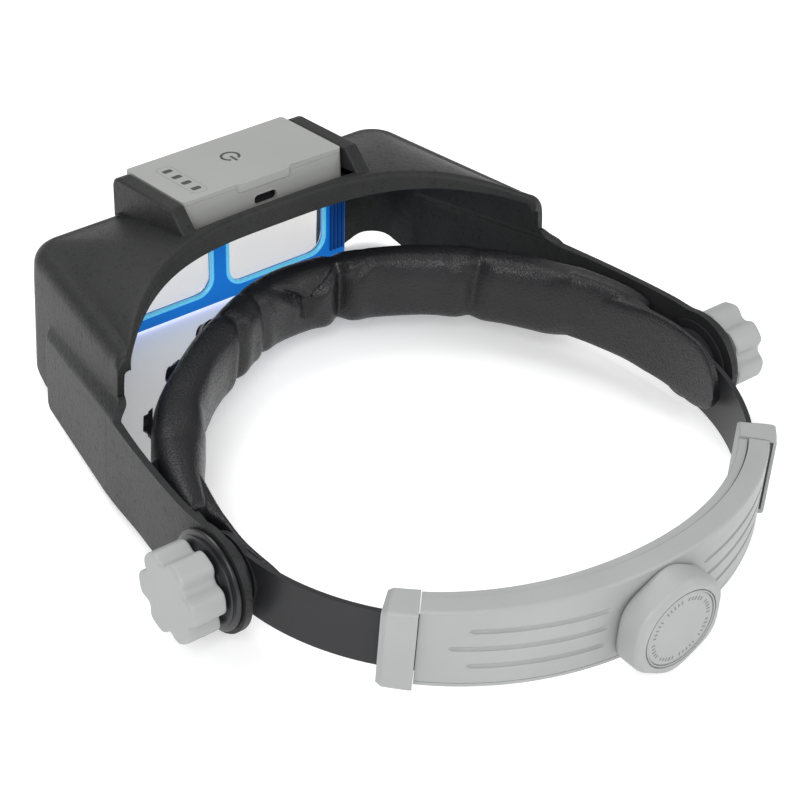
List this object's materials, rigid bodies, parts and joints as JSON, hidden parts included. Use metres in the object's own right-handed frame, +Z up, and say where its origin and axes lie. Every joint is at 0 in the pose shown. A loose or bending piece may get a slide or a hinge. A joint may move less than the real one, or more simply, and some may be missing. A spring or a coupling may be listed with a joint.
{
  "type": "head visor magnifier",
  "caption": "Headband magnifier: a hinged visor hood with a two-window lens plate and a lift-out lamp, on a padded band with a ratchet knob at the back.",
  "frame": {"origin": "middle of the bottom of the part's box, on the surface that it stands on, with the headband level", "axes": "+Z up, +X to the wearer's left along the pivot axis, the wearer looks along -Y"},
  "size_m": [0.2446, 0.2558, 0.0711],
  "materials": {
    "black_plastic": "fine moulded grain, black",
    "band_plastic": "smooth black",
    "black_gloss": "glossy black",
    "grey_plastic": "satin light grey",
    "blue_plastic": "glossy bright blue, cyan window rims",
    "lens": "clear acrylic",
    "leatherette": "black leatherette, fine grain",
    "steel": "plated",
    "brass": "plain brass",
    "led": "clear resin over phosphor",
    "cell_foil": "foil pouch",
    "board": "green solder mask"
  },
  "bodies": {
    "headband": {"front_strap": "band_plastic", "sweat_pad": "leatherette", "snap_left_1": "black_gloss", "snap_left_2": "black_gloss", "snap_left_3": "black_gloss", "snap_left_4": "black_gloss", "snap_right_1": "black_gloss", "snap_right_2": "black_gloss", "snap_right_3": "black_gloss", "snap_right_4": "black_gloss", "side_strap_left": "band_plastic", "side_strap_right": "band_plastic", "pivot_bolt_left": "steel", "pivot_bolt_right": "steel", "inner_washer_left": "band_plastic", "inner_washer_right": "band_plastic"},
    "visor": {"visor_hood": "black_plastic", "outer_washer_left": "black_plastic", "outer_washer_right": "black_plastic", "lens_frame": "blue_plastic", "lens_left": "lens", "lens_right": "lens", "lens_screw_left": "steel", "lens_screw_right": "steel"},
    "lamp": {"lamp_case": "grey_plastic", "lamp_cover": "grey_plastic", "lamp_window": "lens", "light_guide": "black_gloss", "led_left": "led", "led_right": "led", "battery": "cell_foil", "circuit_board": "board", "usb_socket": "steel"},
    "clamp_knob_left": {"pivot_knob_left": "grey_plastic", "knob_insert_left": "brass"},
    "clamp_knob_right": {"pivot_knob_right": "grey_plastic", "knob_insert_right": "brass"},
    "rear_housing": {"rear_cover": "grey_plastic", "rear_base": "grey_plastic", "end_collar_left": "grey_plastic", "end_collar_right": "grey_plastic", "housing_screw_left": "steel", "housing_screw_right": "steel", "detent_washer": "steel"},
    "ratchet": {"ratchet_knob": "grey_plastic", "knob_cap": "grey_plastic", "pinion": "black_gloss", "knob_screw": "steel"}
  },
  "joints": [
    {"name": "visor_flip", "type": "hinge", "parent": "headband", "child": "visor", "pos_m": [0, 0.02765, 0.02341], "axis": [-1, 0, 0], "range_deg": [-6, 70]},
    {"name": "lamp_lift", "type": "slide", "parent": "visor", "child": "lamp", "axis": [0, -0.149, 0.9888], "range_m": [0, 0.013]},
    {"name": "clamp_turn_left", "type": "hinge", "parent": "headband", "child": "clamp_knob_left", "pos_m": [0.1097, 0.02765, 0.02341], "axis": [1, 0, 0], "continuous": true},
    {"name": "clamp_turn_right", "type": "hinge", "parent": "headband", "child": "clamp_knob_right", "pos_m": [-0.1097, 0.02765, 0.02341], "axis": [1, 0, 0], "continuous": true},
    {"name": "band_adjust", "type": "slide", "parent": "headband", "child": "rear_housing", "axis": [0, -1, 0], "range_m": [0, 0.016], "deforming": ["side_strap_left", "side_strap_right"]},
    {"name": "ratchet_turn", "type": "hinge", "parent": "rear_housing", "child": "ratchet", "pos_m": [0, 0.11255, 0.02441], "axis": [0, 1, 0], "range_deg": [0, 132.5]}
  ],
  "couplings": [
    {"joint": "ratchet_turn", "follows": "band_adjust", "rad_per_m": 144}
  ]
}
